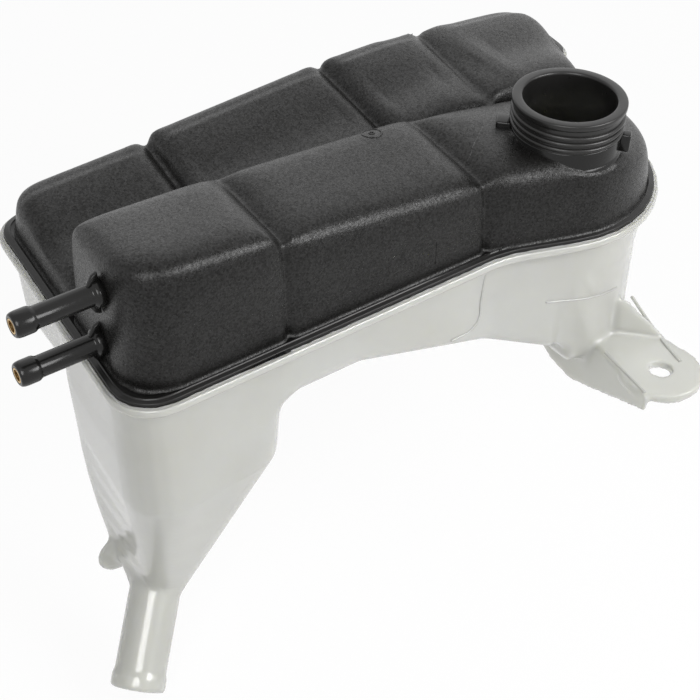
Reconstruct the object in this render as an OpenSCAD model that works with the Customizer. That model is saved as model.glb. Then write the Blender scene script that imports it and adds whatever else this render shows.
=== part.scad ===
// Coolant expansion tank: a black moulded top of seven pillow-shaped cells with a screw neck,
// welded along a flange to a translucent lower shell with a funnel-shaped sump and an outlet.
// Millimetres, +Z up, origin at the centre of the filler neck's rim.

/* [Plan] */
// Neck axis to the front left corner of the weld flange
left_l = 239; // [220:1:260]
// Neck axis to the back right corner of the weld flange
right_l = 110; // [104:1:122]
// Neck axis to the straight front edge of the flange
front_d = 19.4; // [16:0.2:24]
// Neck axis to the back edge of the flange
back_d = 134; // [126:1:144]
// Lean of the left end from square, in degrees
end_lean = 5; // [2:0.5:7]
// Radius of the lobe round the neck
lobe_r = 63; // [58:1:66]
// Radius of the front left corner
corner_fl = 20; // [14:1:26]
// Radius of the back left corner
corner_bl = 17.5; // [12:0.5:22]

/* [Weld flange] */
// Width of the flange outside the walls
flange_w = 6.5; // [5:0.5:8]
// Thickness of each half of the flange
flange_t = 3; // [2:0.2:4]

/* [Cells of the top] */
// Wall thickness of both shells
wall = 2.5; // [2:0.1:3.2]
// Left cross groove, neck axis to groove at the front
groove_1 = 160; // [150:1:170]
// Right cross groove of the front row
groove_2 = 54; // [50:1:60]
// Right cross groove of the back row, right of the neck axis at the back
groove_3 = 12; // [8:1:16]
// Long groove between the rows, behind the neck axis
valley_y = 50; // [47:0.5:54]
// Depth of the grooves between the cells
groove_depth = 6; // [4:0.5:8]
// Rounding of the cells' top edges
pillow_r = 8.5; // [7:0.5:10]
// Rounding of the cells' upright edges at the grooves
cell_r = 4.5; // [3.5:0.5:6]
// Draft of the cell walls, inset at the top
cell_draft = 1.2; // [0.6:0.2:2]
// Height above the flange of the tallest cell's front left corner
cell_h = 62; // [56:1:68]
// Thickness of the baffles between the cells
baffle_t = 3; // [2:0.2:4]
// Clear height under the baffles
baffle_gap = 9; // [5:1:12]

/* [Filler neck] */
// Height of the neck's rim above the flange
neck_h = 56; // [52:1:62]
// Outside diameter over the thread
neck_d = 52; // [48:1:56]
// Bore of the neck
neck_bore = 42; // [38:1:44]
// Length of the threaded band below the rim
thread_l = 12.7; // [10:0.1:15]
// Depth of the thread band above the collar
thread_t = 1.2; // [0.8:0.1:1.6]
// Reach of the two stop lugs from the neck axis
lug_reach = 30; // [28.5:0.5:32]
// Angle of the stop lug at the back left, in plan
lug_a1 = 138; // [125:1:150]
// Angle of the stop lug at the front right, in plan
lug_a2 = -55; // [-70:1:-45]
// Width of a stop lug
lug_w = 10; // [8:1:12]
// Height of a stop lug
lug_h = 6; // [4:0.5:7]

/* [Hose spigots at the left end] */
// Length of a spigot outside the wall
vent_l = 36; // [30:1:42]
// Outside diameter of a spigot
vent_d = 9.2; // [8:0.1:10]
// Diameter of its bead
vent_bead_d = 10.8; // [10:0.1:12]
// Length of its bead
vent_bead_l = 9; // [6:0.5:11]
// Height of the upper spigot above the flange
vent_hi = 38; // [34:0.5:42]
// Height of the lower spigot above the flange
vent_lo = 9.5; // [9:0.5:14]
// Distance of the upper spigot behind the neck axis
vent_hi_y = 15; // [12:1:18]
// Distance of the lower spigot behind the neck axis
vent_lo_y = 20; // [12:1:24]
// Outside diameter of the brass sleeves
sleeve_d = 6.4; // [5.8:0.1:6.8]
// Bore of the brass sleeves
sleeve_bore = 5; // [4:0.1:5.2]
// Length of a brass sleeve
sleeve_l = 26; // [20:1:32]

/* [Lower shell] */
// Depth of the tray below the flange at the front
tray_d = 37; // [34:1:42]
// Fall of the tray floor from front to back
tray_fall = 14; // [8:1:18]
// Draft of the lower walls, inset at the tray floor
tray_draft = 2; // [1:0.5:3]
// Width of the sump
sump_w = 75; // [68:1:78]
// Length of the sump from front to back
sump_l = 90; // [84:1:96]
// Depth from the flange to where the funnel starts
sump_d = 71; // [66:1:78]
// Depth of the right-hand chamber
chamber_d = 92; // [88:1:98]
// Bottom rounding of the chamber
chamber_r = 16; // [12:1:18]

/* [Outlet] */
// Outside diameter of the outlet
outlet_d = 25; // [22:0.5:27]
// Bore of the outlet
outlet_bore = 20; // [17:0.5:21]
// Length of the outlet
outlet_l = 49; // [40:1:54]
// Bead diameter at the outlet's end
outlet_bead_d = 26.6; // [26:0.2:28.4]
// Depth of the outlet's root below the flange
outlet_z = 158; // [152:1:164]
// Angle of the outlet below level
outlet_drop = 40; // [34:1:46]
// Turn of the outlet from the left end towards the front
outlet_turn = 43; // [36:1:50]

/* [Mounting bracket] */
// Hole for the fixing bolt
bolt_d = 10.9; // [8:0.1:12]
// Radius of the bracket's round end
bracket_r = 20.5; // [18:0.5:23]
// Thickness of the bracket plate
bracket_t = 4.8; // [4:0.2:6]
// Depth of the plate's top face below the flange
bracket_z = 75; // [72:1:78]
// Hole to the right of the neck axis
bolt_x = 26; // [22:1:30]
// Hole in front of the neck axis
bolt_y = 60; // [54:1:64]
// Turn of the bracket in plan
bracket_turn = 9; // [4:1:14]
// Thickness of the bracket's webs
web_t = 2.6; // [2:0.2:3.4]
// Radius of the round locating ear behind the sump
ear_r = 11; // [9:0.5:13]
// Thickness of the locating ear
ear_t = 4; // [3:0.5:6]

/* [Hidden] */
$fn = 72;
black = [0.16, 0.155, 0.15];
milky = [0.82, 0.83, 0.80];
brass = [0.75, 0.58, 0.28];
weld_z = -flange_t;

// Outline corners are [x, y, radius], anticlockwise, with a negative radius on an inner corner
lean = tan(end_lean);
function left_x(y) = -left_l + lean*(y + front_d);
bend_x = -46;
bend_slope = 0.36;
flank = 0.13;
flank_x = right_l - 42.8;
lobe_y = (-front_d - bend_slope*(flank_x - bend_x))/(1 + bend_slope*flank);
flare_y = back_d - 50;
outline = [
  [left_x(-front_d), -front_d, corner_fl],
  [bend_x, -front_d, -60],
  [flank_x + flank*lobe_y, lobe_y, lobe_r],
  [flank_x + flank*flare_y, flare_y, -25],
  [right_l - 4, flare_y + 22, 16],
  [right_l, back_d, 9],
  [left_x(back_d), back_d, corner_bl]];

function unit(v) = v/norm(v);
function inward(a, b) = let (d = unit([b.x - a.x, b.y - a.y])) [-d.y, d.x];
// Points of the outline set in by e, the same number of points at every e, k steps to a corner
function ring(c, e, k = 5) = [for (i = [0:len(c) - 1]) let (
    n0 = inward(c[(i + len(c) - 1) % len(c)], c[i]),
    n1 = inward(c[i], c[(i + 1) % len(c)]),
    r = c[i].z > 0 ? max(c[i].z - e, 0.6) : c[i].z - e,
    o = [c[i].x, c[i].y] + (e + r)*(n0 + n1)/(1 + n0*n1),
    a0 = atan2(n0.y, n0.x),
    turn = atan2(cross(n0, n1), n0*n1),
    n = abs(c[i].z) > 30 ? 2*k : k)
  for (j = [0:n]) let (a = a0 + turn*j/n) o - r*[cos(a), sin(a)]];
function lift(pts, z) = [for (p = pts) [p.x, p.y, z]];
function middle(pts) = [for (k = [0:2]) [for (p = pts) p[k]]*[for (p = pts) 1]/len(pts)];

// Closed solid through rings of equal length, lowest first; both ends close on a middle point
module skin(rings, crown = 0, foot = 0) {
  n = len(rings[0]);
  m = len(rings);
  points = [for (r = rings) each r, middle(rings[0]) + [0, 0, foot], middle(rings[m - 1]) + [0, 0, crown]];
  faces = [
    for (j = [0:m - 2], i = [0:n - 1]) let (k = (i + 1) % n) each [
      [j*n + i, (j + 1)*n + i, j*n + k],
      [j*n + k, (j + 1)*n + i, (j + 1)*n + k]],
    for (i = [0:n - 1]) [m*n, i, (i + 1) % n],
    for (i = [0:n - 1]) [m*n + 1, (m - 1)*n + (i + 1) % n, (m - 1)*n + i]];
  polyhedron(points, faces);
}

// Height over a cell from its corner heights: front left, front right, back right, back left
function low(c, k) = min([for (p = c) p[k]]);
function high(c, k) = max([for (p = c) p[k]]);
function top_z(c, h, bow, p) = let (
    u = pow(max(0, (p.x - low(c, 0))/(high(c, 0) - low(c, 0))), bow),
    v = min(1, (p.y - low(c, 1))/(high(c, 1) - low(c, 1))/(low(c, 1) > valley_y ? ridge : 1)))
  (1 - v)*((1 - u)*h[0] + u*h[1]) + v*((1 - u)*h[3] + u*h[2]);
module pillow(c, h, bow, base, r, k) {
  edge = ring(c, cell_draft + r, k);
  m = middle(lift(edge, 0));
  skin([
    lift(ring(c, 0, k), base),
    for (j = [0:k - 1]) let (a = 90*j/(k - 1)) [for (p = ring(c, cell_draft + r*(1 - cos(a)), k))
      [p.x, p.y, top_z(c, h, bow, p) - r*(1 - sin(a))]],
    for (t = [0.3, 0.65]) [for (e = edge) let (p = [e.x, e.y]*(1 - t) + [m.x, m.y]*t)
      [p.x, p.y, top_z(c, h, bow, p) + 0.5*t]]], 0.1);
}

// Walls of the cells: w is the inset of the outer walls, b the inset at the grooves
wall_f = flange_w - front_d;
wall_b = back_d - flange_w;
function wall_l(y) = left_x(y) + flange_w/cos(end_lean);
function wall_r(y) = flank_x - flange_w + 3 + 0.39*(y - valley_y);
function x_1(y) = -groove_1 + 0.079*(y + front_d);
function x_2(y) = -groove_2 + 0.021*(y + front_d);
function x_3(y) = groove_3 + 0.156*(y - back_d);
function inset(i, e) = let (
    n0 = inward(outline[i - 1], outline[i]),
    n1 = inward(outline[i], outline[i + 1]))
  [outline[i].x, outline[i].y] + e*(n0 + n1)/(1 + n0*n1);
function flank_at(y, e) = flank_x + flank*y - e*sqrt(1 + flank*flank);
function row_cell(xa, xb, y0, y1, r) = [
  [xa[0], y0, r[0]], [xb[0], y0, r[1]], [xb[1], y1, r[2]], [xa[1], y1, r[3]]];

// Heights of the cells above the flange at their corners, and their plans
cells = [
  [cell_h, cell_h - 8, cell_h - 12, cell_h - 10],
  [cell_h - 11, cell_h - 25, cell_h - 18, cell_h - 12],
  [cell_h - 23, cell_h - 45, cell_h - 42, cell_h - 21],
  [cell_h - 49, cell_h - 47, cell_h - 36, cell_h - 40],
  [cell_h - 44, cell_h - 38, cell_h - 26.5, cell_h - 34],
  [cell_h - 35, cell_h - 29, cell_h - 26, cell_h - 26.5],
  [cell_h - 28, cell_h - 39, cell_h - 35, cell_h - 27.5]];
// Share of a back cell's depth at which its slope ends in a ridge
ridge = 0.8;
// How late each cell's top falls to the right: 1 falls evenly
bows = [1, 1, 2, 1, 1, 1, 1.5];
function cell(i, w, b) = let (
    y0 = wall_f + w, y1 = valley_y - b, y2 = valley_y + b, y3 = wall_b - w, r = cell_r)
  i == 0 ? row_cell([wall_l(y0) + w, wall_l(y1) + w], [x_1(y0) - b, x_1(y1) - b], y0, y1,
    [corner_fl - w, r, r, r]) :
  i == 1 ? row_cell([x_1(y0) + b, x_1(y1) + b], [x_2(y0) - b, x_2(y1) - b], y0, y1, [r, r, r, r]) :
  i == 2 ? [
    [x_2(y0) + b, y0 + 0.5, r],
    [each inset(2, flange_w + w), lobe_r - flange_w - w],
    [flank_at(y1, flange_w + w), y1, r],
    [x_2(y1) + b, y1, r]] :
  i == 3 ? row_cell([wall_l(y2) + w, wall_l(y3) + w], [x_1(y2) - b, x_1(y3) - b], y2, y3,
    [r, r, r, corner_bl - 2 - w]) :
  i == 4 ? row_cell([x_1(y2) + b, x_1(y3) + b], [x_2(y2) - b, x_2(y3) - b], y2, y3, [r, r, r, r]) :
  i == 5 ? row_cell([x_2(y2) + b, x_2(y3) + b], [x_3(y2) - b, x_3(y3) - b], y2, y3, [r, r, r, r]) :
  row_cell([x_3(y2) + b, x_3(y3) + b], [wall_r(y2) - w, wall_r(y3) - w], y2, y3,
    [r, 2*r, 20 - w, r]);
// Line of the walls round both shells, set in by w; the lower walls turn tighter round the lobe
function wall_line(w, tight = 0) = let (y0 = wall_f + w, y3 = wall_b - w, s = tight > 0 ? left_out : 0) [
  [wall_l(y0) - s + w, y0, corner_fl - w],
  [each inset(1, flange_w + w), -60],
  [each inset(2, flange_w + w), lobe_r - flange_w - w - tight],
  [wall_r(valley_y) - w, valley_y, -20],
  [wall_r(y3) - w, y3, 20 - w],
  [wall_l(y3) - s + w, y3, corner_bl - 2 - w]];

// Filling that sets the depth of a groove, from p to q in plan with its top at hp and hq
module groove(p, q, hp, hq, depth = groove_depth) {
  d = unit(q - p);
  n = [-d.y, d.x]*3;
  quad = [p - n, q - n, q + n, p + n];
  h = [hp, hq, hq, hp];
  skin([lift(quad, 0), [for (i = [0:3]) [quad[i].x, quad[i].y, h[i] - depth]]]);
}
module grooves() {
  f = wall_f + cell_r + 1;
  k = wall_b - cell_r - 1;
  v = valley_y;
  groove([x_1(f), f], [x_1(v), v], cells[1][0], min(cells[0][2], cells[1][3]));
  groove([x_2(f), f], [x_2(v), v], cells[1][1], cells[2][3], 0.6*groove_depth);
  groove([x_1(k), k], [x_1(v), v], cells[3][2], cells[3][1]);
  groove([x_2(k), k], [x_2(v), v], cells[4][2], cells[4][1]);
  groove([x_3(k), k], [x_3(v), v], cells[6][3], cells[6][0], groove_depth - 0.3);
  groove([x_1(v), v], [wall_l(v) + cell_r, v], cells[3][1], cells[3][0], groove_depth + 0.4);
  groove([x_2(v), v], [x_1(v), v], cells[4][1], cells[3][1], groove_depth + 0.4);
  groove([wall_r(v) - 2*cell_r, v], [x_2(v), v], cells[6][1], cells[4][1], groove_depth + 0.4);
}

module flange_plate(z) {
  translate([0, 0, z]) linear_extrude(flange_t) polygon(ring(outline, 0));
}

// Spigot along -X with its root on the left wall
vents = [[vent_hi_y, vent_hi], [vent_lo_y, vent_lo]];
module at_vent(v) {
  translate([wall_l(v.x), v.x, v.y]) rotate([0, -90, 0]) children();
}
module spigot() {
  r = vent_d/2;
  b = vent_bead_d/2;
  rotate_extrude() polygon([[0, 0.4 - wall], [r, 0.4 - wall], [r, vent_l - vent_bead_l],
    [b, vent_l - vent_bead_l + 2], [b, vent_l - 3], [r - 0.4, vent_l], [0, vent_l]]);
  translate([0, 0, 0.4 - wall]) cylinder(h = wall + 2, d = vent_d + 7);
  translate([-vent_d/2 - 6, -0.9, 0.4 - wall]) cube([vent_d + 12, 1.8, wall + 4.6]);
}

neck_foot = cell_h - 41;
module neck() {
  r = neck_d/2;
  rotate_extrude() polygon([[0, neck_foot], [r - thread_t, neck_foot], [r - thread_t, neck_h - thread_l],
    [r, neck_h - thread_l + 1], [r, neck_h - 1], [r - 1, neck_h], [0, neck_h]]);
  for (a = [lug_a1, lug_a2]) rotate(a)
    translate([0, -lug_w/2, neck_h - thread_l - lug_h]) cube([lug_reach, lug_w, lug_h]);
}

module top_body() {
  difference() {
    union() {
      flange_plate(-flange_t);
      for (i = [0:6]) pillow(cell(i, 0, -0.2), cells[i], bows[i], -flange_t/2, pillow_r, 5);
      grooves();
    }
    translate([0, 0, weld_z - 1]) linear_extrude(1 + flange_t + baffle_gap)
      polygon(ring(wall_line(wall + 0.6), 0, 3));
    for (i = [0:6]) pillow(cell(i, wall, baffle_t/2), [for (h = cells[i]) h - wall], bows[i],
      baffle_gap - 1, pillow_r - wall, 3);
  }
}

module upper_shell() {
  color(black) translate([0, 0, -neck_h]) difference() {
    union() {
      // One moulding, merged at its own size
      resize([0, 0, 0]) top_body();
      neck();
      for (v = vents) at_vent(v) spigot();
    }
    translate([0, 0, neck_foot - 1]) cylinder(h = neck_h, d = neck_bore);
    for (v = vents) at_vent(v) translate([0, 0, -wall - 1]) cylinder(h = vent_l + wall + 2, d = sleeve_d);
  }
}

module vent_sleeve(v) {
  color(brass) translate([0, 0, -neck_h]) at_vent(v)
    translate([0, 0, vent_l - sleeve_l]) difference() {
      cylinder(h = sleeve_l, d = sleeve_d);
      translate([0, 0, -1]) cylinder(h = sleeve_l + 2, d = sleeve_bore);
    }
}
module upper_vent_sleeve() { vent_sleeve(vents[0]); }
module lower_vent_sleeve() { vent_sleeve(vents[1]); }

// Lower shell: tray, sump with funnel, chamber; w is the inset of the wall
bottom_r = 8;
lobe_tight = 7;
// How far the lower left wall stands outside the upper one
left_out = 3;
function floor_z(y) = -tray_d - tray_fall*(y - wall_f)/(wall_b - wall_f);
module tray(w, top) {
  c = wall_line(w, lobe_tight);
  r = bottom_r - w;
  skin([
    for (a = [90:-30:0]) [for (p = ring(c, tray_draft + r*(1 - cos(a))))
      [p.x, p.y, floor_z(p.y) + w + r*(1 - sin(a))]],
    lift(ring(c, 0), top)]);
}

// Axis of the outlet, from the sump outwards
out = [-cos(outlet_drop)*cos(outlet_turn), -cos(outlet_drop)*sin(outlet_turn), -sin(outlet_drop)];
out_u = unit(cross([0, 1, 0], -out));
out_v = cross(-out, out_u);
sump_x = wall_l(wall_f) - left_out;
root = [sump_x + left_out + 18, wall_f + 38, -outlet_z];
function sump_quad(w, in, flare = 0) = let (x1 = sump_x + left_out + sump_w + flare - w - in) [
  [sump_x + w + in, wall_f + w + in, corner_fl - w],
  [x1, wall_f + w + in, 14],
  [x1, wall_f + sump_l - w - in, 16],
  [wall_l(wall_f + sump_l) - left_out + w + in, wall_f + sump_l - w - in, 14]];
flare_r = 14;
// Rise of the funnel's start from left to right, per millimetre
funnel_tilt = 0.1;
function funnel(w, t) = let (
    a = ring(sump_quad(w, 2), 0),
    c = [sump_x + sump_w/2, wall_f + sump_l/2])
  [for (p = a) let (
      g = atan2(p.y - c.y, p.x - c.x),
      q = root - w*out + (outlet_d/2 + 0.7 - w)*(cos(g)*out_u + sin(g)*out_v),
      s = p.y > c.y ? pow(t, 2.4) : t)
    [p.x + (q.x - p.x)*t, p.y + (q.y - p.y)*s,
      -sump_d + (q.z + sump_d)*t + funnel_tilt*(p.x - c.x)*(1 - t)]];
module sump(w, top) {
  skin([
    for (t = [1:-0.2:0]) funnel(w, t),
    // Flare of the right-hand side into the tray
    for (a = [90:-22.5:0]) lift(ring(sump_quad(w, 1, flare_r*(1 - sin(a))), 0), flare_r*cos(a) - tray_d - flare_r + 4),
    lift(ring(sump_quad(w, 0.1, flare_r), 0), top)]);
}

module at_outlet() {
  translate(root) rotate([0, 0, 180 + outlet_turn]) rotate([0, 90 + outlet_drop, 0]) children();
}
module outlet() {
  r = outlet_d/2;
  b = outlet_bead_d/2;
  rotate_extrude() polygon([[0, 0.8 - wall], [r, 0.8 - wall], [r, outlet_l - 8], [b, outlet_l - 7],
    [b, outlet_l - 1], [b - 0.8, outlet_l], [0, outlet_l]]);
}

// Chamber under the neck, deepest at the right; chamber_in is where its left side meets the tray
chamber_in = -52;
chamber_draft = 2.5;
function chamber_ring(x, in, w, r) = ring([
  [x + w, front_line(x + w, flange_w + 2 + w), 8],
  [each inset(2, flange_w + 2 + w), r],
  [flank_at(flare_y + 2, flange_w + w) - 4, flare_y + 2 - w, 18],
  [x + w, flare_y + 2 - w, 12]], in);
// Line of the flange's front edge right of the bend, set in by e
function front_line(x, e) = -front_d - bend_slope*(x - bend_x) + e*sqrt(1 + bend_slope*bend_slope);
module chamber(w, top, k) {
  r = chamber_r - w;
  skin([
    for (j = [k:-1:0]) let (a = 90*j/k)
      lift(chamber_ring(-4.5, chamber_draft + r*(1 - cos(a)), w, 44 - w), -chamber_d + w + r*(1 - sin(a))),
    for (z = [6 - tray_d, top]) lift(chamber_ring(chamber_in, 0, w, lobe_r - flange_w - lobe_tight - w), z)],
    0, -1.2);
}
// Ramp of the floor between the tray and the chamber
ramp_x = -124;
ramp_fall = 0.305;
ramp_end = -6;
function ramp_z(x) = 2 - tray_d - ramp_fall*(x - ramp_x) - 0.075*max(0, x - bend_x);
module ramp(w, top) {
  c = [
    [ramp_x + w, wall_f + 2 + w, 8],
    [each inset(1, flange_w + 2 + w), -20],
    [ramp_end, front_line(ramp_end, flange_w + 2 + w), 6],
    [ramp_end, flare_y + 2 - w, 6],
    [bend_x, flare_y + 4 - w, 40],
    [ramp_x + w, flare_y + 2 - w, 8]];
  r = 6 - w;
  skin([
    for (a = [90:-30:0]) [for (p = ring(c, r*(1 - cos(a))))
      [p.x, p.y, ramp_z(p.x) + w + r*(1 - sin(a))]],
    lift(ring(c, 0), top)]);
}

// Bracket, in its own frame: origin on the bolt's axis in the top face, +Y to the tank
module at_bracket() {
  translate([bolt_x, -bolt_y, -bracket_z]) rotate(-bracket_turn) children();
}
module plate() {
  translate([0, 0, -bracket_t]) linear_extrude(bracket_t) {
    circle(bracket_r);
    polygon([[-bracket_r + 1.5, -8], [-bracket_r + 3.6, 32], [4, 36], [bracket_r - 4.6, 18.7], [bracket_r, 0]]);
  }
}
module webs() {
  // Web down the left edge, running on under the chamber
  translate([-bracket_r + 1.5 + web_t, 0, 0]) rotate([90, 0, -90]) linear_extrude(web_t)
    polygon([[14, -1], [14, -9], [-7, -18.5], [-20, -24.5], [-34, -31.5], [-44, -36], [-64, -36],
      [-76, -31], [-76, -14], [-50, -1]]);
  // Cross rib under the chamber's front wall
  translate([-bracket_r + 2, 34, -20]) cube([18, web_t, 19]);
  // Gusset standing on the right edge
  translate([-4.3, 33.2, 0]) rotate(-36) translate([0, web_t/2, 0]) rotate([90, 0, 0])
    linear_extrude(web_t) polygon([[-6, -1], [-6, 21], [4, 21], [25, 0], [25, -1]]);
}

module bottom_body() {
  difference() {
    union() {
      flange_plate(-2*flange_t);
      tray(0, weld_z - 1);
      sump(0, weld_z - 1);
      chamber(0, weld_z - 1, 4);
      ramp(0, 13 - tray_d);
      at_bracket() webs();
    }
    tray(wall, weld_z + 1);
    sump(wall, weld_z + 1);
    chamber(wall, weld_z + 1, 3);
    ramp(wall, 15 - tray_d);
  }
}

module lower_shell() {
  color(milky) translate([0, 0, -neck_h]) difference() {
    union() {
      resize([0, 0, 0]) bottom_body();
      at_outlet() outlet();
      at_bracket() plate();
      translate(root + [-8, 19, 11]) rotate([-90, 0, 0]) cylinder(h = ear_t, r = ear_r);
    }
    at_outlet() translate([0, 0, -wall - 1]) cylinder(h = outlet_l + wall + 2, d = outlet_bore);
    at_bracket() translate([0, 0, -bracket_t - 1]) cylinder(h = bracket_t + 2, d = bolt_d);
  }
}

upper_shell();
lower_shell();
upper_vent_sleeve();
lower_vent_sleeve();
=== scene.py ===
import math
import bmesh
import bpy
import numpy as np
from mathutils import Matrix, Vector
from mathutils.bvhtree import BVHTree
from mathutils.kdtree import KDTree


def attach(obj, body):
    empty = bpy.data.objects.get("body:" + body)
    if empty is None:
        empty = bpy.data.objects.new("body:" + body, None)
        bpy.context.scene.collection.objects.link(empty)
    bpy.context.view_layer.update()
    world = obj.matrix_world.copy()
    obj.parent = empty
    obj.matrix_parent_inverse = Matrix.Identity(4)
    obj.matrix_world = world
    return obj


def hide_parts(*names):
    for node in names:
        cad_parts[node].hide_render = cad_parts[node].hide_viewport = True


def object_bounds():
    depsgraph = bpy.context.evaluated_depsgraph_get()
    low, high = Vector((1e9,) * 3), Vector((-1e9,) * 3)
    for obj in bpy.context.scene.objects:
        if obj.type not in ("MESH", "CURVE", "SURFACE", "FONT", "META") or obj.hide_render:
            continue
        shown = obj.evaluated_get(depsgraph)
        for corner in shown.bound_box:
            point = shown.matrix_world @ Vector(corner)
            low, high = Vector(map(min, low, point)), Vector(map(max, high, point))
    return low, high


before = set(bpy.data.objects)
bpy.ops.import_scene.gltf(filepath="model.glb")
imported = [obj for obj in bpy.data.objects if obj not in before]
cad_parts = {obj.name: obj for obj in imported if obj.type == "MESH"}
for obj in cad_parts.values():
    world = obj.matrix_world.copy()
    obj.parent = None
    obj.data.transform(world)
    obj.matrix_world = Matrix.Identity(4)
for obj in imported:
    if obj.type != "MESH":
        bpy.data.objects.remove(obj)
cad_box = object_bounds()
MM = 0.001

# Black upper shell: one grained polypropylene moulding of seven pillow-shaped cells with 2.4 mm
# walls, open underneath. The outside of the frame's solid is remeshed, its edges are worn round
# and it is hollowed again; the neck and the spigots are turned shapes, so their stubs are drawn in.
VENT_AXES = [(15.0 * MM, -18.0 * MM), (20.0 * MM, -46.5 * MM)]
VENT_WALL_X = [-229.47 * MM, -229.03 * MM]
VENT_REACH = 12.5 * MM
WELL_R, WELL_FOOT = 21 * MM, -58 * MM
SKIN_VOXEL, SKIN_WALL = 1.0 * MM, 2.4 * MM
LUG_BEARINGS, LUG_SPREAD = (138, -55), 16
BACK_FRONT_Y, BACK_DEPTH = 50, 77.5
BACK_DIP, BACK_STEP = 2.6, 0.9
BLACK_SETBACK = 2.6 * MM


def merged_copy(node, name):
    """A welded copy of a frame node's mesh as a new object."""
    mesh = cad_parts[node].data.copy()
    mesh.materials.clear()
    obj = bpy.data.objects.new(name, mesh)
    bpy.context.scene.collection.objects.link(obj)
    bm = bmesh.new()
    bm.from_mesh(mesh)
    bmesh.ops.remove_doubles(bm, verts=bm.verts, dist=1e-6)
    bm.to_mesh(mesh)
    bm.free()
    return obj


def placed(bm, name):
    """The finished bmesh as a new object, with its normals turned outwards."""
    bmesh.ops.recalc_face_normals(bm, faces=bm.faces)
    mesh = bpy.data.meshes.new(name)
    bm.to_mesh(mesh)
    bm.free()
    obj = bpy.data.objects.new(name, mesh)
    bpy.context.scene.collection.objects.link(obj)
    return obj


def baked(obj):
    """Turns an object's modifiers into plain mesh."""
    bpy.context.view_layer.update()
    graph = bpy.context.evaluated_depsgraph_get()
    mesh = bpy.data.meshes.new_from_object(obj.evaluated_get(graph))
    obj.modifiers.clear()
    obj.data = mesh
    return obj


def remeshed(obj, voxel):
    step = obj.modifiers.new("moulding skin", "REMESH")
    step.mode = "VOXEL"
    step.voxel_size = voxel
    step.adaptivity = 0.0
    return baked(obj)


def coords(obj):
    v = np.empty(len(obj.data.vertices) * 3)
    obj.data.vertices.foreach_get("co", v)
    return v.reshape(-1, 3)


def set_coords(obj, v):
    obj.data.vertices.foreach_set("co", v.ravel())
    obj.data.update()


def normals(obj):
    n = np.empty(len(obj.data.vertices) * 3)
    obj.data.vertices.foreach_get("normal", n)
    return n.reshape(-1, 3)


def neighbour_mean(obj):
    """A function that gives the middle of the points joined to each point."""
    n = len(obj.data.vertices)
    e = np.empty(len(obj.data.edges) * 2, dtype=np.int64)
    obj.data.edges.foreach_get("vertices", e)
    a, b = e[0::2], e[1::2]
    degree = np.maximum(np.bincount(a, minlength=n) + np.bincount(b, minlength=n), 1)

    def mean(v):
        return np.stack([(np.bincount(a, v[b, k], n) + np.bincount(b, v[a, k], n)) / degree
                         for k in range(3)], axis=1)

    return mean


def relaxed(obj, weight, rounds):
    """Evens out the facets; weight says how freely each point moves, and the second pull of
    each round gives back what the first one shrank."""
    v = coords(obj)
    mean = neighbour_mean(obj)
    for _ in range(rounds):
        for pull in (0.6, -0.45):
            v += (mean(v) - v) * (pull * weight)[:, None]
    set_coords(obj, v)


def worn(obj, weight, rounds):
    """Rounds off what stands out: points on outward edges sink, hollows stay as they are."""
    v = coords(obj)
    outward = normals(obj)
    mean = neighbour_mean(obj)
    for _ in range(rounds):
        sink = np.minimum(((mean(v) - v) * outward).sum(axis=1), 0)
        v += outward * (0.8 * weight * sink)[:, None]
    set_coords(obj, v)


def smooth_shade(obj):
    obj.data.polygons.foreach_set("use_smooth", [True] * len(obj.data.polygons))


def thinned(obj, ratio):
    step = obj.modifiers.new("thinning", "DECIMATE")
    step.ratio = ratio
    return baked(obj)


def outer_skin(obj, well_r, well_foot):
    """Leaves the outside of a downward-open shell and shuts it underneath for the remesh, with
    a well below the neck; what lies under other material is inside, except round the spigots."""
    bm = bmesh.new()
    bm.from_mesh(obj.data)
    bm.normal_update()
    tree = BVHTree.FromBMesh(bm)
    inside = []
    for face in bm.faces:
        c = face.calc_center_median()
        at_neck = math.hypot(c.x, c.y) < 31 * MM and c.z > -26 * MM
        at_vent = any(math.hypot(c.y - y, c.z - z) < VENT_REACH and c.x < x + 2.4 * MM
                      for (y, z), x in zip(VENT_AXES, VENT_WALL_X))
        if at_neck or at_vent:
            continue
        if tree.ray_cast(c + face.normal * 5e-5, Vector((0, 0, 1)))[0] is not None:
            inside.append(face)
    bmesh.ops.delete(bm, geom=inside, context="FACES")
    rims = [e for e in bm.edges if len(e.link_faces) == 1]
    bore = [e for e in rims if all(math.hypot(p.co.x, p.co.y) < well_r + 1.5 * MM for p in e.verts)]
    sunk = bmesh.ops.extrude_edge_only(bm, edges=bore)["geom"]
    for p in sunk:
        if isinstance(p, bmesh.types.BMVert):
            p.co.z = well_foot
    bmesh.ops.holes_fill(bm, edges=[e for e in bm.edges if len(e.link_faces) == 1], sides=0)
    bmesh.ops.triangulate(bm, faces=[f for f in bm.faces if len(f.verts) > 4])
    bmesh.ops.recalc_face_normals(bm, faces=bm.faces)
    bm.to_mesh(obj.data)
    bm.free()


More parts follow.
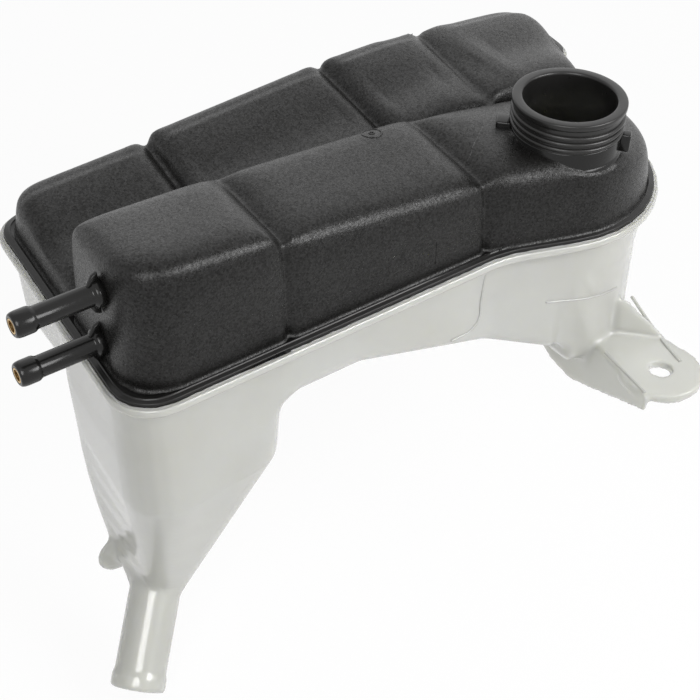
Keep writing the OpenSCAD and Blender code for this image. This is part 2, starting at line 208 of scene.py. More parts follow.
def flange_line(node, top, foot):
    """The flange's outer edge as evenly spaced points, anticlockwise, with its facets eased."""
    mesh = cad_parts[node].data
    bm = bmesh.new()
    bm.from_mesh(mesh)
    bmesh.ops.remove_doubles(bm, verts=bm.verts, dist=1e-6)
    follow = {}
    for face in bm.faces:
        zs = [p.co.z for p in face.verts]
        if abs(max(zs) - top) > 2e-5 or abs(min(zs) - foot) > 2e-5 or abs(face.normal.z) > 0.05:
            continue
        for edge in face.edges:
            a, b = edge.verts
            if abs(a.co.z - top) < 2e-5 and abs(b.co.z - top) < 2e-5:
                for p, q in ((a, b), (b, a)):
                    follow.setdefault(p.index, set()).add(q.index)
    bm.verts.ensure_lookup_table()
    loops = []
    left = set(follow)
    while left:
        walk = [left.pop()]
        while True:
            ahead = [q for q in follow[walk[-1]] if q in left]
            if not ahead:
                break
            left.discard(ahead[0])
            walk.append(ahead[0])
        loops.append(np.array([bm.verts[i].co[:2] for i in walk]))
    bm.free()
    line = max(loops, key=lambda p: np.ptp(p[:, 0]) + len(p) * 1e-6)
    shut = np.vstack([line, line[:1]])
    run = np.concatenate([[0], np.cumsum(np.hypot(*np.diff(shut, axis=0).T))])
    count = int(run[-1] / (1.1 * MM))
    at = np.linspace(0, run[-1], count, endpoint=False)
    line = np.stack([np.interp(at, run, shut[:, k]) for k in range(2)], axis=1)
    for _ in range(6):
        for pull in (0.6, -0.5):
            line = line + ((np.roll(line, 1, 0) + np.roll(line, -1, 0)) / 2 - line) * pull
    x, y = line.T
    if (x * np.roll(y, -1) - y * np.roll(x, -1)).sum() < 0:
        line = line[::-1]
    return line


def inwards(line):
    """The unit direction into the loop at each point of it."""
    step = np.roll(line, -1, 0) - np.roll(line, 1, 0)
    step /= np.linalg.norm(step, axis=1)[:, None]
    return np.stack([-step[:, 1], step[:, 0]], axis=1)


def hollowed(obj, wall):
    """Opens a closed skin underneath and below the neck, and gives what is left a wall."""
    bm = bmesh.new()
    bm.from_mesh(obj.data)
    bm.normal_update()
    gone = []
    for face in bm.faces:
        c = face.calc_center_median()
        under = face.normal.z < -0.7 and c.z < -57.5 * MM
        in_well = math.hypot(c.x, c.y) < 23.6 * MM and c.z < -30 * MM
        if under or in_well:
            gone.append(face)
    bmesh.ops.delete(bm, geom=gone, context="FACES")
    bm.to_mesh(obj.data)
    bm.free()
    step = obj.modifiers.new("wall", "SOLIDIFY")
    step.thickness = wall
    step.offset = -1
    step.use_rim = True
    return baked(obj)


def drawn_in(obj):
    """Pulls the stubs of the neck, its lugs and the spigots back into the walls."""
    v = coords(obj)
    reach = np.hypot(v[:, 0], v[:, 1])
    bearing = np.degrees(np.arctan2(v[:, 1], v[:, 0]))
    at_lug = np.any([np.abs(bearing - b) < LUG_SPREAD for b in LUG_BEARINGS], axis=0)
    stub = (reach < 26.4 * MM) & (v[:, 2] > -30 * MM)
    stub |= (reach < 31 * MM) & (v[:, 2] > -19.6 * MM) & at_lug
    inner = reach < 22 * MM
    for part, r in ((inner, 22.3 * MM), (stub & ~inner, 23.6 * MM)):
        v[part, :2] *= (r / np.maximum(reach[part], 1e-6))[:, None]
    v[:, 2] = np.where(stub, np.minimum(v[:, 2], -12 * MM), v[:, 2])
    for (y, z), wall_x in zip(VENT_AXES, VENT_WALL_X):
        near = (np.hypot(v[:, 1] - y, v[:, 2] - z) < VENT_REACH) & (v[:, 0] < wall_x + 0.5 * MM)
        v[near, 0] = wall_x + 0.3 * MM
    set_coords(obj, v)


black_top = merged_copy("upper_shell", "black_top")
outer_skin(black_top, WELL_R, WELL_FOOT)
drawn_in(black_top)
remeshed(black_top, SKIN_VOXEL)
above = np.clip((coords(black_top)[:, 2] + 54.5 * MM) / (5 * MM), 0, 1)
relaxed(black_top, 0.12 + 0.88 * above, 22)

# The front row's edges are worn to about 14 mm, and the back row's tops dip behind the valley.
x, y, z = coords(black_top).T / MM
high = np.clip((z + 50) / 8, 0, 1) * np.clip((np.hypot(x, y) - 27) / 8, 0, 1)
front = np.clip((52 - y) / 12, 0, 1)
worn(black_top, high * np.maximum(0.25 + 0.75 * front, (x > -14) & (y > 55)), 140)
v = coords(black_top)
x, y, z = v.T / MM
facing_up = np.clip((normals(black_top)[:, 2] - 0.35) / 0.4, 0, 1) * (z > -48)
depth_in = (y - BACK_FRONT_Y) / BACK_DEPTH
clear = np.ones(len(v))
groove_lines = (-160 + 0.079 * (y + 19.4), -54 + 0.021 * (y + 19.4), 12 + 0.156 * (y - 134), -232, 20)
for line_x in groove_lines:
    clear *= np.clip((np.abs(x - line_x) - 3) / 9, 0, 1)
dip = BACK_DIP * np.exp(-((depth_in - 0.42) / 0.2) ** 2)
dip += BACK_STEP * np.clip((depth_in - 0.8) / 0.05, 0, 1)
v[:, 2] -= dip * clear * facing_up * np.clip((y - BACK_FRONT_Y) / 8, 0, 1) * MM
v[:, 2] -= 0.35 * MM * np.clip((-55.2 * MM - v[:, 2]) / (0.6 * MM), 0, 1) * (v[:, 2] > -57.2 * MM)
set_coords(black_top, v)
thinned(black_top, 0.55)

# The flange's edge is drawn in under the band that the next section lays on it.
black_line = flange_line("upper_shell", -56 * MM, -59 * MM)
ways_in = inwards(black_line)
nearest = KDTree(len(black_line))
for i, (x, y) in enumerate(black_line):
    nearest.insert((x, y, 0), i)
nearest.balance()
v = coords(black_top)
for i in np.nonzero(v[:, 2] < -54.6 * MM)[0]:
    k = nearest.find((v[i, 0], v[i, 1], 0))[1]
    inset = (v[i, :2] - black_line[k]) @ ways_in[k]
    if inset < BLACK_SETBACK:
        v[i, :2] += ways_in[k] * (BLACK_SETBACK - inset)
set_coords(black_top, v)
hollowed(black_top, SKIN_WALL)
smooth_shade(black_top)


def material(name):
    m = bpy.data.materials.new(name)
    m.use_nodes = True
    tree = m.node_tree
    shader = tree.nodes["Principled BSDF"]
    return m, tree, shader


def node(tree, kind, **values):
    n = tree.nodes.new(kind)
    for key, value in values.items():
        if hasattr(n, key):
            setattr(n, key, value)
        else:
            n.inputs[key.replace("_", " ")].default_value = value
    return n


def grained_black(name, deep, dusty, roughness, grain, depth, shine, spread=0.03, speck=0.0):
    """Black polypropylene from a grained mould: fine pebble in the surface, faint dust and
    handling bloom in the colour."""
    m, tree, shader = material(name)
    place = node(tree, "ShaderNodeTexCoord")
    bloom = node(tree, "ShaderNodeTexNoise", Scale=26.0, Detail=4.0, Roughness=0.55)
    tree.links.new(place.outputs["Object"], bloom.inputs["Vector"])
    tint = node(tree, "ShaderNodeValToRGB")
    tint.color_ramp.elements[0].position = 0.35
    tint.color_ramp.elements[0].color = (*deep, 1)
    tint.color_ramp.elements[1].position = 0.7
    tint.color_ramp.elements[1].color = (*dusty, 1)
    tree.links.new(bloom.outputs["Fac"], tint.inputs["Fac"])
    tree.links.new(tint.outputs["Color"], shader.inputs["Base Color"])
    fine = node(tree, "ShaderNodeTexNoise", Scale=grain, Detail=3.0, Roughness=0.7)
    tree.links.new(place.outputs["Object"], fine.inputs["Vector"])
    bump = node(tree, "ShaderNodeBump", Strength=1.0, Distance=depth)
    tree.links.new(fine.outputs["Fac"], bump.inputs["Height"])
    tree.links.new(bump.outputs["Normal"], shader.inputs["Normal"])
    pebble = node(tree, "ShaderNodeTexVoronoi", Scale=grain * 0.9, Randomness=1.0)
    tree.links.new(place.outputs["Object"], pebble.inputs["Vector"])
    glint = node(tree, "ShaderNodeMapRange")
    glint.inputs["To Min"].default_value = roughness - spread
    glint.inputs["To Max"].default_value = roughness + spread
    tree.links.new(pebble.outputs["Color"], glint.inputs["Value"])
    tree.links.new(glint.outputs["Result"], shader.inputs["Roughness"])
    shader.inputs["IOR"].default_value = 1.5
    if speck:
        spark = node(tree, "ShaderNodeTexVoronoi", Scale=grain * 0.75, Randomness=1.0)
        tree.links.new(place.outputs["Object"], spark.inputs["Vector"])
        strength = node(tree, "ShaderNodeMapRange")
        strength.inputs["To Min"].default_value = shine - speck
        strength.inputs["To Max"].default_value = shine + speck
        tree.links.new(spark.outputs["Color"], strength.inputs["Value"])
        tree.links.new(strength.outputs["Result"], shader.inputs["Specular IOR Level"])
    else:
        shader.inputs["Specular IOR Level"].default_value = shine
    return m


grain_black = grained_black("grained black polypropylene", (0.0042, 0.0040, 0.0037), (0.0080, 0.0077, 0.0073),
                            roughness=0.31, grain=1700.0, depth=0.00013, shine=0.28, spread=0.10, speck=0.15)
black_top.data.materials.append(grain_black)
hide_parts("upper_shell")
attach(black_top, "root")


# Black half of the weld flange: a flat land with a fine raised rib round the foot of the walls and
# a sharp edge that stands 2 mm inside the milky half's. Its line is read from the frame's flange.
def band(name, line, profile):
    """A closed band along the line; the profile is (distance inwards, height) in millimetres."""
    inward = inwards(line)
    bm = bmesh.new()
    rings = [[bm.verts.new((p.x + n.x * d * MM, p.y + n.y * d * MM, z * MM)) for d, z in profile]
             for p, n in ((Vector(p), Vector(n)) for p, n in zip(line, inward))]
    for a, b in zip(rings, rings[1:] + rings[:1]):
        for j in range(len(profile)):
            k = (j + 1) % len(profile)
            bm.faces.new((a[j], a[k], b[k], b[j]))
    return placed(bm, name)


def dressed(obj, finish):
    """Smooth shading, finish and body of a piece that stands in for no node."""
    smooth_shade(obj)
    obj.data.materials.append(finish)
    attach(obj, "root")


black_rim = band("black_flange", black_line, [
    (2.3, -59.0), (2.05, -58.75), (2.05, -56.3), (2.15, -56.02), (2.4, -55.85), (4.1, -55.85), (4.35, -55.7),
    (4.5, -55.35), (4.75, -55.22), (5.0, -55.35), (5.15, -55.7), (5.4, -55.85), (7.9, -55.85), (7.9, -59.0)])
rim_black = grained_black("smooth black flange", (0.010, 0.0097, 0.0094), (0.017, 0.0166, 0.0162),
                          roughness=0.3, grain=700.0, depth=0.00005, shine=0.27)
dressed(black_rim, rim_black)

# Filler neck: turned black collar with a rounded lip and a 42 mm bore, moulded on the right-hand
# cell. Its screw thread is a raised helix of just over three turns that fades at both ends,
# and two square lugs under it stop the cap.
NECK_PROFILE = [(21.0, -30.5), (21.0, -1.6), (21.15, -0.6), (21.6, -0.12), (22.2, 0), (25.1, 0), (25.6, -0.15),
                (25.85, -0.6), (25.9, -1.1), (25.85, -2.3), (25.5, -2.9), (24.9, -3.3), (24.75, -4.0),
                (24.75, -13.0), (24.85, -13.4), (24.85, -24), (24.85, -30.5)]


def turned(name, profile, segments=128):
    """Revolves a closed profile of (radius, height) in millimetres about Z."""
    bm = bmesh.new()
    rings = []
    for i in range(segments):
        a = 2 * math.pi * i / segments
        rings.append([bm.verts.new((r * MM * math.cos(a), r * MM * math.sin(a), z * MM)) for r, z in profile])
    n = len(profile)
    for i in range(segments):
        p, q = rings[i], rings[(i + 1) % segments]
        for j in range(n):
            k = (j + 1) % n
            bm.faces.new((p[j], p[k], q[k], q[j]))
    return placed(bm, name)


def rounded(obj, width, segments=3):
    step = obj.modifiers.new("rounding", "BEVEL")
    step.width = width
    step.segments = segments
    step.limit_method = "ANGLE"
    step.angle_limit = 0.6
    return baked(obj)


neck = turned("filler_neck", NECK_PROFILE)
satin_black = grained_black("satin black neck", (0.010, 0.0097, 0.0093), (0.016, 0.0156, 0.015),
                            roughness=0.3, grain=1500.0, depth=0.00003, shine=0.36)
gloss_black = grained_black("glossy black", (0.005, 0.0049, 0.0047), (0.009, 0.0088, 0.0085),
                            roughness=0.2, grain=900.0, depth=0.00001, shine=0.3)
dressed(neck, satin_black)
collar = turned("neck_collar", [(24.3, -14.9), (24.9, -14.9), (25.05, -15.3), (25.05, -22.6), (25.3, -23.4),
                                (25.9, -23.9), (25.9, -30.5), (24.3, -30.5)])
dressed(collar, gloss_black)


def add_inputs(tree, floats):
    """The tree's named float inputs and its group nodes."""
    for label, value in floats:
        s = tree.interface.new_socket(label, in_out="INPUT", socket_type="NodeSocketFloat")
        s.default_value = value
    tree.interface.new_socket("Geometry", in_out="OUTPUT", socket_type="NodeSocketGeometry")
    return tree.nodes.new("NodeGroupInput"), tree.nodes.new("NodeGroupOutput")


def swept(tree, curve, thickness, ins, sides):
    """Sweeps a circle of the tree's Bead input along the curve, scaled by thickness."""
    link = tree.links.new
    size = tree.nodes.new("GeometryNodeSetCurveRadius")
    link(curve, size.inputs["Curve"])
    link(thickness, size.inputs["Radius"])
    profile = tree.nodes.new("GeometryNodeCurvePrimitiveCircle")
    profile.inputs["Resolution"].default_value = sides
    link(ins.outputs["Bead"], profile.inputs["Radius"])
    sweep = tree.nodes.new("GeometryNodeCurveToMesh")
    sweep.inputs["Fill Caps"].default_value = True
    link(size.outputs["Curve"], sweep.inputs["Curve"])
    link(profile.outputs["Curve"], sweep.inputs["Profile Curve"])
    if "Scale" in sweep.inputs:
        link(thickness, sweep.inputs["Scale"])
    return sweep.outputs["Mesh"]


def close_tree(tree, geometry, finish, outs):
    """Ends a tree with real geometry in its finish."""
    link = tree.links.new
    real = tree.nodes.new("GeometryNodeRealizeInstances")
    link(geometry, real.inputs["Geometry"])
    paint = tree.nodes.new("GeometryNodeSetMaterial")
    paint.inputs["Material"].default_value = finish
    link(real.outputs["Geometry"], paint.inputs["Geometry"])
    link(paint.outputs["Geometry"], outs.inputs["Geometry"])


def helix_tree(name, finish):
    """Node tree that sweeps a round bead along a helix, tapered at both ends."""
    tree = bpy.data.node_groups.new(name, "GeometryNodeTree")
    ins, outs = add_inputs(tree, (("Turns", 3.1), ("Radius", 0.0247), ("Height", 0.0096), ("Foot", -0.0142),
                                  ("Bead", 0.00115)))
    link = tree.links.new
    spiral = tree.nodes.new("GeometryNodeCurveSpiral")
    spiral.inputs["Resolution"].default_value = 96
    link(ins.outputs["Turns"], spiral.inputs["Rotations"])
    link(ins.outputs["Radius"], spiral.inputs["Start Radius"])
    link(ins.outputs["Radius"], spiral.inputs["End Radius"])
    link(ins.outputs["Height"], spiral.inputs["Height"])
    along = tree.nodes.new("GeometryNodeSplineParameter")
    ease = tree.nodes.new("ShaderNodeMath")
    ease.operation = "PINGPONG"
    ease.inputs[1].default_value = 0.5
    link(along.outputs["Factor"], ease.inputs[0])
    taper = tree.nodes.new("ShaderNodeMapRange")
    taper.interpolation_type = "SMOOTHSTEP"
    taper.inputs["From Max"].default_value = 0.05
    taper.inputs["To Min"].default_value = 0.05
    taper.inputs["To Max"].default_value = 1.0
    link(ease.outputs["Value"], taper.inputs["Value"])
    mesh = swept(tree, spiral.outputs["Curve"], taper.outputs["Result"], ins, 12)
    lift = tree.nodes.new("ShaderNodeCombineXYZ")
    link(ins.outputs["Foot"], lift.inputs["Z"])
    place = tree.nodes.new("GeometryNodeTransform")
    link(mesh, place.inputs["Geometry"])
    link(lift.outputs["Vector"], place.inputs["Translation"])
    close_tree(tree, place.outputs["Geometry"], finish, outs)
    return tree


def grown(name, tree, mesh, values):
    """An object that a node tree grows from a mesh, with the tree's inputs set by socket."""
    obj = bpy.data.objects.new(name, mesh)
    bpy.context.scene.collection.objects.link(obj)
    step = obj.modifiers.new("growth", "NODES")
    step.node_group = tree
    for item in tree.interface.items_tree:
        if item.item_type == "SOCKET" and item.in_out == "INPUT" and item.name in values:
            step[item.identifier] = values[item.name]
    return baked(obj)


thread = grown("neck_thread", helix_tree("helical thread", satin_black), bpy.data.meshes.new("neck_thread"), {})
smooth_shade(thread)
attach(thread, "root")
LUG_ROOT = 24.4


def lug(name, angle, tip, breadth, foot, head):
    """A block from the collar out to the tip's radius, turned to its bearing."""
    bm = bmesh.new()
    bmesh.ops.create_cube(bm, size=1.0)
    for p in bm.verts:
        r = (LUG_ROOT + tip) / 2 + p.co.x * (tip - LUG_ROOT)
        p.co = Vector((r * MM, p.co.y * breadth * MM, ((foot + head) / 2 + p.co.z * (head - foot)) * MM))
    bmesh.ops.rotate(bm, verts=bm.verts, cent=(0, 0, 0), matrix=Matrix.Rotation(math.radians(angle), 3, "Z"))
    dressed(rounded(placed(bm, name), 0.9 * MM), gloss_black)


lug("back_stop_lug", 136, 31.6, 8.6, -24, -14)
lug("front_stop_lug", -50, 29.4, 5.2, -23, -14.2)

# Hose spigots: two glossy black stubs moulded on the left end wall, each with a long bead for the
# hose, a round pad at its root and a gusset on both sides. A brass sleeve lines each mouth.
SPIGOT = [(3.2, -2.0), (3.2, 35.6), (3.5, 36.0), (4.4, 36.0), (4.9, 35.6), (5.25, 34.6), (5.4, 33.2), (5.4, 28.9),
          (5.25, 28.0), (4.75, 27.2), (4.6, 26.5), (4.6, 3.5), (4.85, 2.9), (5.6, 2.5), (6.0, 2.0), (6.1, 1.2),
          (6.1, -2.0)]
GUSSET = [(0.6, 4.0), (-4.6, 4.0), (-3.9, 5.6), (-1.9, 8.8), (0.6, 10.0)]
for name, (y, z), wall_x in zip(("upper_spigot", "lower_spigot"), VENT_AXES, VENT_WALL_X):
    spigot = turned(name, SPIGOT, 64)
    spigot.data.transform(Matrix.Translation((wall_x, y, z)) @ Matrix.Rotation(-math.pi / 2, 4, "Y"))
    dressed(spigot, gloss_black)
    bm = bmesh.new()
    for side in (-1, 1):
        slabs = [[bm.verts.new((wall_x + p * MM, y + h * MM, z + side * q * MM)) for p, q in GUSSET]
                 for h in (-0.9, 0.9)]
        bm.faces.new(slabs[0])
        bm.faces.new(reversed(slabs[1]))
        for j in range(len(GUSSET)):
            k = (j + 1) % len(GUSSET)
            bm.faces.new((slabs[0][j], slabs[0][k], slabs[1][k], slabs[1][j]))
    dressed(rounded(placed(bm, name + "_gussets"), 0.35 * MM, 2), gloss_black)

brass, tree, shader = material("turned brass")
shader.inputs["Metallic"].default_value = 1.0
place = node(tree, "ShaderNodeTexCoord")
lathe = node(tree, "ShaderNodeTexNoise", Scale=1800.0, Detail=2.0)
tree.links.new(place.outputs["Object"], lathe.inputs["Vector"])
tint = node(tree, "ShaderNodeValToRGB")
tint.color_ramp.elements[0].color = (0.50, 0.33, 0.12, 1)
tint.color_ramp.elements[1].color = (0.72, 0.52, 0.24, 1)
tree.links.new(lathe.outputs["Fac"], tint.inputs["Fac"])
tree.links.new(tint.outputs["Color"], shader.inputs["Base Color"])
rub = node(tree, "ShaderNodeMapRange")
rub.inputs["To Min"].default_value = 0.22
rub.inputs["To Max"].default_value = 0.42
tree.links.new(lathe.outputs["Fac"], rub.inputs["Value"])
tree.links.new(rub.outputs["Result"], shader.inputs["Roughness"])
for name in ("upper_vent_sleeve", "lower_vent_sleeve"):
    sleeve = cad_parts[name]
    sleeve.data.materials.clear()
    sleeve.data.materials.append(brass)

# Translucent lower shell: natural polypropylene with thin walls; the tray, chamber, funnel sump,
# outlet, bolt bracket and locating ear are one moulding. Light goes through it. The outlet, the
# bracket and the flange keep their edges, everything else is eased.
OUTLET_ROOT = np.array([-213.88, 25.1, -214.0]) * MM
OUTLET_WAY = np.array([-0.5602, -0.5224, -0.6428])
milky_bottom = merged_copy("lower_shell", "milky_bottom")
remeshed(milky_bottom, 1.15 * MM)
v = coords(milky_bottom)
below = np.clip((-61 * MM - v[:, 2]) / (6 * MM), 0, 1)
t = (v - OUTLET_ROOT) @ OUTLET_WAY
radial = np.linalg.norm(v - OUTLET_ROOT - t[:, None] * OUTLET_WAY, axis=1)
on_outlet = (t > -2 * MM) & (radial < 15 * MM)
near_plate = (v[:, 1] < -28 * MM) & (v[:, 2] < -120 * MM)
weight = 0.15 + 0.85 * below
weight[on_outlet | near_plate] = 0.2
relaxed(milky_bottom, weight, 34)
thinned(milky_bottom, 0.62)
smooth_shade(milky_bottom)

milky, tree, shader = material("natural translucent polypropylene")
place = node(tree, "ShaderNodeTexCoord")
cloud = node(tree, "ShaderNodeTexNoise", Scale=14.0, Detail=3.0)
tree.links.new(place.outputs["Object"], cloud.inputs["Vector"])
tint = node(tree, "ShaderNodeValToRGB")
tint.color_ramp.elements[0].position = 0.3
tint.color_ramp.elements[0].color = (0.62, 0.62, 0.575, 1)
tint.color_ramp.elements[1].position = 0.7
tint.color_ramp.elements[1].color = (0.68, 0.685, 0.655, 1)
tree.links.new(cloud.outputs["Fac"], tint.inputs["Fac"])
tree.links.new(tint.outputs["Color"], shader.inputs["Base Color"])
shader.inputs["Roughness"].default_value = 0.27
shader.inputs["IOR"].default_value = 1.49
shader.inputs["Subsurface Weight"].default_value = 0.5
shader.inputs["Subsurface Radius"].default_value = (1.0, 1.0, 0.8)
shader.inputs["Subsurface Scale"].default_value = 0.006
shader.inputs["Transmission Weight"].default_value = 0.4
shader.inputs["Coat Weight"].default_value = 0.6
shader.inputs["Coat Roughness"].default_value = 0.1
ripple = node(tree, "ShaderNodeTexNoise", Scale=380.0, Detail=2.0)
tree.links.new(place.outputs["Object"], ripple.inputs["Vector"])
bump = node(tree, "ShaderNodeBump", Strength=0.6, Distance=0.00004)
tree.links.new(ripple.outputs["Fac"], bump.inputs["Height"])
tree.links.new(bump.outputs["Normal"], shader.inputs["Normal"])
milky_bottom.data.materials.append(milky)
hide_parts("lower_shell")
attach(milky_bottom, "root")

# Milky half of the weld flange: a lip with two fine ridges that stands up round the black half's
# edge, and the thin uneven flash that the hot plate pressed out between the two halves.
milky_line = flange_line("lower_shell", -59 * MM, -62 * MM)
milky_rim = band("milky_flange", milky_line, [
    (7.2, -59.05), (2.05, -59.05), (2.05, -58.1), (1.85, -57.8), (1.55, -57.75), (1.3, -57.95), (1.1, -58.05),
    (0.9, -57.95), (0.6, -57.8), (0.2, -57.95), (-0.1, -58.4), (-0.3, -59.1), (-0.35, -60.2), (-0.3, -60.9),
    (0.05, -61.5), (0.6, -61.85), (1.4, -62.1), (7.2, -62.1)])
dressed(milky_rim, milky)


def bead_tree(name, finish):
    """Node tree that sweeps a round bead along a line of edges; waver thins it unevenly."""
    tree = bpy.data.node_groups.new(name, "GeometryNodeTree")
    tree.interface.new_socket("Line", in_out="INPUT", socket_type="NodeSocketGeometry")
    ins, outs = add_inputs(tree, (("Bead", 0.0003), ("Spacing", 0.001), ("Waver", 0.0), ("Grain", 300.0)))
    link = tree.links.new
    curve = tree.nodes.new("GeometryNodeMeshToCurve")
    link(ins.outputs["Line"], curve.inputs["Mesh"])
    even = tree.nodes.new("GeometryNodeResampleCurve")
    even.mode = "LENGTH"
    link(curve.outputs["Curve"], even.inputs["Curve"])
    link(ins.outputs["Spacing"], even.inputs["Length"])
    noise = tree.nodes.new("ShaderNodeTexNoise")
    noise.inputs["Detail"].default_value = 3.0
    link(ins.outputs["Grain"], noise.inputs["Scale"])
    thin = tree.nodes.new("ShaderNodeMapRange")
    thin.inputs["From Min"].default_value = 0.42
    thin.inputs["From Max"].default_value = 0.62
    link(noise.outputs["Fac"], thin.inputs["Value"])
    share = tree.nodes.new("ShaderNodeMath")
    share.operation = "MULTIPLY"
    link(thin.outputs["Result"], share.inputs[0])
    link(ins.outputs["Waver"], share.inputs[1])
    rest = tree.nodes.new("ShaderNodeMath")
    rest.operation = "SUBTRACT"
    rest.inputs[0].default_value = 1.0
    link(share.outputs["Value"], rest.inputs[1])
    mesh = swept(tree, even.outputs["Curve"], rest.outputs["Value"], ins, 8)
    close_tree(tree, mesh, finish, outs)
    return tree


def beaded(name, points, tree, values, shut=False):
    """A bead along points, on the root body; values are its radius and spacing in millimetres,
    then how much it wavers and how finely."""
    mesh = bpy.data.meshes.new(name)
    n = len(points)
    mesh.from_pydata([tuple(p) for p in points], [(i, (i + 1) % n) for i in range(n if shut else n - 1)], [])
    bead, spacing, *waver = values
    sizes = {"Bead": bead * MM, "Spacing": spacing * MM}
    sizes.update(zip(("Waver", "Grain"), waver))
    obj = grown(name, tree, mesh, sizes)
    smooth_shade(obj)
    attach(obj, "root")


FLASH_INSET, FLASH_Z = 1.8 * MM, -57.75 * MM
beaded("weld_flash", [(x, y, FLASH_Z) for x, y in milky_line + inwards(milky_line) * FLASH_INSET],
       bead_tree("pressed-out flash", milky), (0.32, 0.9, 0.85, 160.0), True)

# Marks of the mould: the raised fill line round the chamber's front, the parting seam, the ribs on
# the bracket, the gate's ring on the front middle cell, the sink marks on the front wall and the
# long scuffs across the neck's cell.


def cast(tree, start, way):
    """Where a ray in millimetres meets the surface, or None."""
    return tree.ray_cast(Vector(start) * MM, Vector(way))[0]


milky_tree = BVHTree.FromObject(milky_bottom, bpy.context.evaluated_depsgraph_get())
fill = [cast(milky_tree, (x, -90, -98.3 - 0.138 * x), (0, 1, 0)) for x in np.linspace(-18.5, 23, 40)]
beaded("fill_line", [p for p in fill if p], bead_tree("raised line", milky), (0.55, 1.0))
edge_tree = bead_tree("rounded rib", milky)
for name, walk, radius in (
        ("parting_seam", [(-52.1, -12.0, -70), (-52.0, -11.2, -85), (-51.6, -11, -94), (-52.6, -11, -98),
                          (-55.5, -11, -100.9), (-60, -11, -102.2), (-68, -11, -102.2)], 0.55),
        ("bracket_rim", [(54.2, -11.7, -131), (48, -28, -131), (41.6, -45.7, -131), (37.5, -62, -131)], 0.9),
        ("bracket_rib", [(12.1, -35.6, -131), (9.3, -53, -131), (7.0, -68, -131)], 0.7)):
    beaded(name, [Vector(p) * MM for p in walk], edge_tree, (radius, 1.0))

black_tree = BVHTree.FromObject(black_top, bpy.context.evaluated_depsgraph_get())


def dropped(points, lift=0.0):
    """The points let down onto the black top."""
    hits = [cast(black_tree, (x, y, 40), (0, 0, -1)) for x, y in points]
    return [hit + Vector((0, 0, lift * MM)) for hit in hits if hit]


def circle(r, count):
    """Points round the gate, without the last that would meet the first."""
    turn = np.linspace(0, 2 * math.pi, count)[:-1]
    return [(-79.5 + r * math.cos(a), 40.5 + r * math.sin(a)) for a in turn]


scuffed = grained_black("scuffed black", (0.05, 0.05, 0.05), (0.12, 0.12, 0.12),
                        roughness=0.5, grain=900.0, depth=0.00004, shine=0.5)
ring_tree = bead_tree("gate ring", grain_black)
beaded("gate_ring", dropped(circle(4.6, 40)), ring_tree, (0.4, 0.8, 0.35), True)
beaded("gate_pip", dropped(circle(1.2, 14)), ring_tree, (0.45, 0.5, 0.3), True)
scuffs = bead_tree("scuff line", scuffed)
for name, a, b in (("long_scuff", (-24.3, 27.0), (-45.0, 12.0)), ("short_scuff", (-45.5, 11.5), (-51.0, 8.0))):
    walk = [(a[0] + (b[0] - a[0]) * t + 0.8 * math.sin(3 * t), a[1] + (b[1] - a[1]) * t)
            for t in np.linspace(0, 1, 30)]
    beaded(name, dropped(walk, -0.04), scuffs, (0.14, 0.6, 0.6))
for name, a, b in (("sink_mark", (-82.6, -38.5), (-82.9, -50.0)), ("sink_tick", (-82.6, -42.3), (-75.0, -43.5))):
    hits = [cast(black_tree, (a[0] + (b[0] - a[0]) * t, -60, a[1] + (b[1] - a[1]) * t), (0, 1, 0))
            for t in np.linspace(0, 1, 16)]
    beaded(name, [p for p in hits if p], ring_tree, (0.22, 0.6, 0.4))

# Studio: white floor under the outlet's tip, faint daylight all round, a soft lamp to the right of
# the camera, one to its left and a large one behind the tank. The camera stands where the
# photograph was taken from, about 0.75 m away and 41 degrees up.
FLOOR_GLOW, DAYLIGHT = 0.94, 0.22
bpy.ops.mesh.primitive_plane_add(size=8, location=(0, 0, cad_box[0][2] - 0.0005))
floor = bpy.context.object
floor.name = "floor"
paper, tree, shader = material("white paper floor")
shader.inputs["Base Color"].default_value = (0.86, 0.86, 0.86, 1)
shader.inputs["Roughness"].default_value = 0.9


def seen_directly(tree):
    """1 where the camera, a reflection or a see-through ray looks at the surface, else 0."""
    path = node(tree, "ShaderNodeLightPath")
    either = node(tree, "ShaderNodeMath", operation="MAXIMUM")
    tree.links.new(path.outputs["Is Camera Ray"], either.inputs[0])
    tree.links.new(path.outputs["Is Glossy Ray"], either.inputs[1])
    most = node(tree, "ShaderNodeMath", operation="MAXIMUM")
    tree.links.new(either.outputs["Value"], most.inputs[0])
    tree.links.new(path.outputs["Is Transmission Ray"], most.inputs[1])
    return most


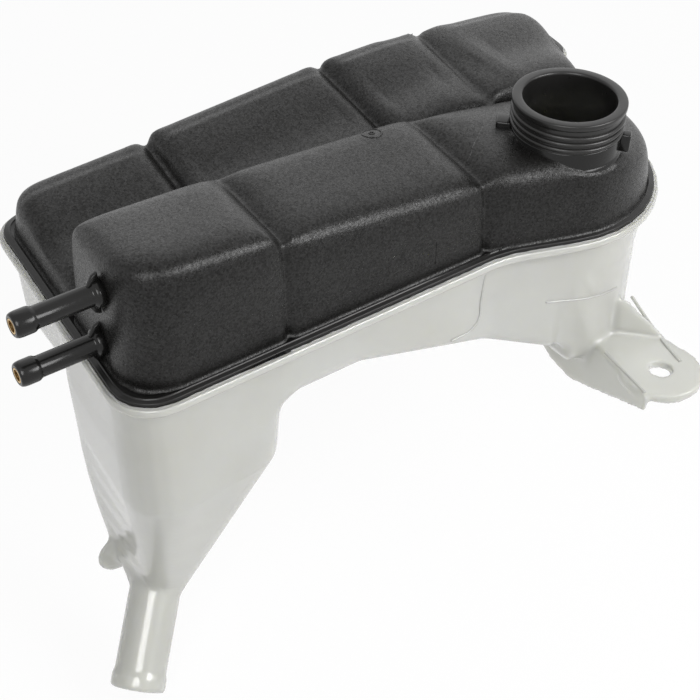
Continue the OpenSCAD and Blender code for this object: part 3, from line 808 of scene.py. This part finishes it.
share = node(tree, "ShaderNodeMath", operation="MULTIPLY")
share.inputs[1].default_value = FLOOR_GLOW
tree.links.new(seen_directly(tree).outputs["Value"], share.inputs[0])
glow = node(tree, "ShaderNodeEmission", Strength=1.0)
glow.inputs["Color"].default_value = (1, 1, 1, 1)
mix = node(tree, "ShaderNodeMixShader")
tree.links.new(share.outputs["Value"], mix.inputs["Fac"])
tree.links.new(shader.outputs["BSDF"], mix.inputs[1])
tree.links.new(glow.outputs["Emission"], mix.inputs[2])
tree.links.new(mix.outputs["Shader"], tree.nodes["Material Output"].inputs["Surface"])
floor.data.materials.append(paper)

world = bpy.data.worlds.new("studio")
world.use_nodes = True
bpy.context.scene.world = world
tree = world.node_tree
sky = tree.nodes["Background"]
sky.inputs["Color"].default_value = (1, 1, 1, 1)
level = node(tree, "ShaderNodeMapRange")
level.inputs["To Min"].default_value = DAYLIGHT
tree.links.new(seen_directly(tree).outputs["Value"], level.inputs["Value"])
tree.links.new(level.outputs["Result"], sky.inputs["Strength"])


def soft_lamp(name, at, size, power):
    """An area lamp that faces the middle of the tank."""
    lamp = bpy.data.lights.new(name, "AREA")
    lamp.shape = "RECTANGLE"
    lamp.size, lamp.size_y = size
    lamp.energy = power
    obj = bpy.data.objects.new(name, lamp)
    bpy.context.scene.collection.objects.link(obj)
    obj.location = at
    obj.rotation_euler = (MIDDLE - Vector(at)).to_track_quat("-Z", "Y").to_euler()


MIDDLE = Vector((-0.07, 0.05, -0.1))
soft_lamp("right softbox", (0.37, -0.74, 0.46), (0.65, 0.42), 9)
soft_lamp("left softbox", (-0.74, -0.60, 0.62), (0.55, 0.55), 6.5)
soft_lamp("rear softbox", (0.70, 1.02, 0.82), (2.2, 1.8), 5.5)

lens = bpy.data.cameras.new("camera")
lens.sensor_width = 36
lens.lens = 72
lens.clip_start = 0.01
camera = bpy.data.objects.new("camera", lens)
bpy.context.scene.collection.objects.link(camera)
ahead = Vector((0.4543, 0.6056, -0.6534)).normalized()
across = Vector((0.8099, -0.5862, 0.0198))
across = (across - across.dot(ahead) * ahead).normalized()
up = across.cross(ahead)
turn = Matrix((across, up, -ahead)).transposed()
camera.matrix_world = Matrix.Translation((-0.4036, -0.3799, 0.319)) @ turn.to_4x4()
bpy.context.scene.camera = camera
bpy.context.scene.view_settings.view_transform = "Standard"
